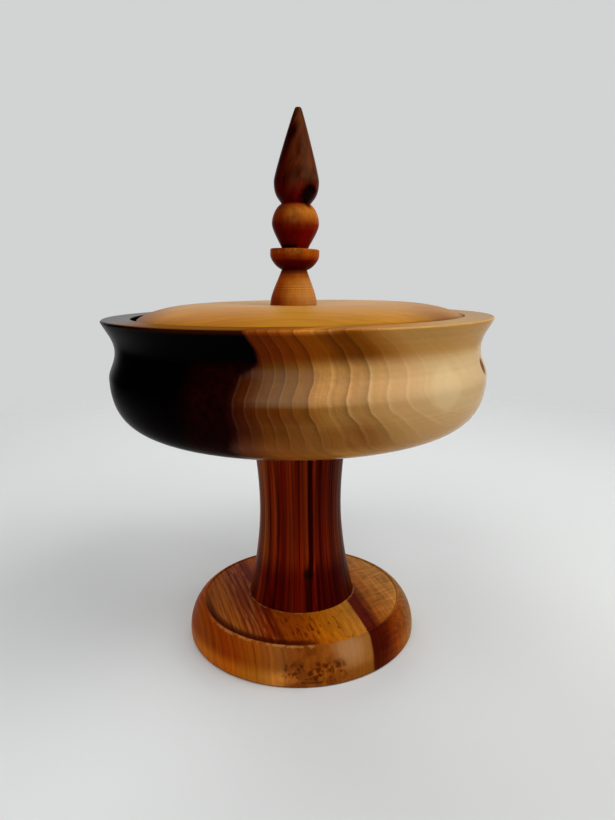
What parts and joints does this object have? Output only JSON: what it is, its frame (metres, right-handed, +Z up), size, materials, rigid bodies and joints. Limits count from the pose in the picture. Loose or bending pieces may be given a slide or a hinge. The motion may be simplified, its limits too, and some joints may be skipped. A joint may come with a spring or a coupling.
{
  "type": "pedestal candy dish",
  "caption": "Turned wooden pedestal dish: round base, waisted stem and wide bowl, with a lift-off lid that carries a tall spindle finial.",
  "frame": {"origin": "centre of the face that the base stands on", "axes": "+Z up along the axis of the stem and bowl, -Y towards the side seen in the picture, +X to its right"},
  "size_m": [0.254, 0.254, 0.3542],
  "materials": {
    "base_wood": "satin oiled, striped brown and honey grain with a dark band",
    "stem_wood": "satin oiled, red-brown with straight upright streaks",
    "bowl_wood": "satin oiled, near-black heartwood running into pale honey sapwood",
    "lid_wood": "satin oiled, honey orange with faint level grain",
    "finial_wood": "satin oiled, yellow-brown foot to dark chestnut tip"
  },
  "bodies": {
    "dish": {"base": "base_wood", "stem": "stem_wood", "bowl": "bowl_wood"},
    "cover": {"lid": "lid_wood", "finial": "finial_wood"}
  },
  "joints": [
    {"name": "lid_lift", "type": "slide", "parent": "dish", "child": "cover", "axis": [0, 0, 1], "range_m": [0, 0.12]}
  ]
}
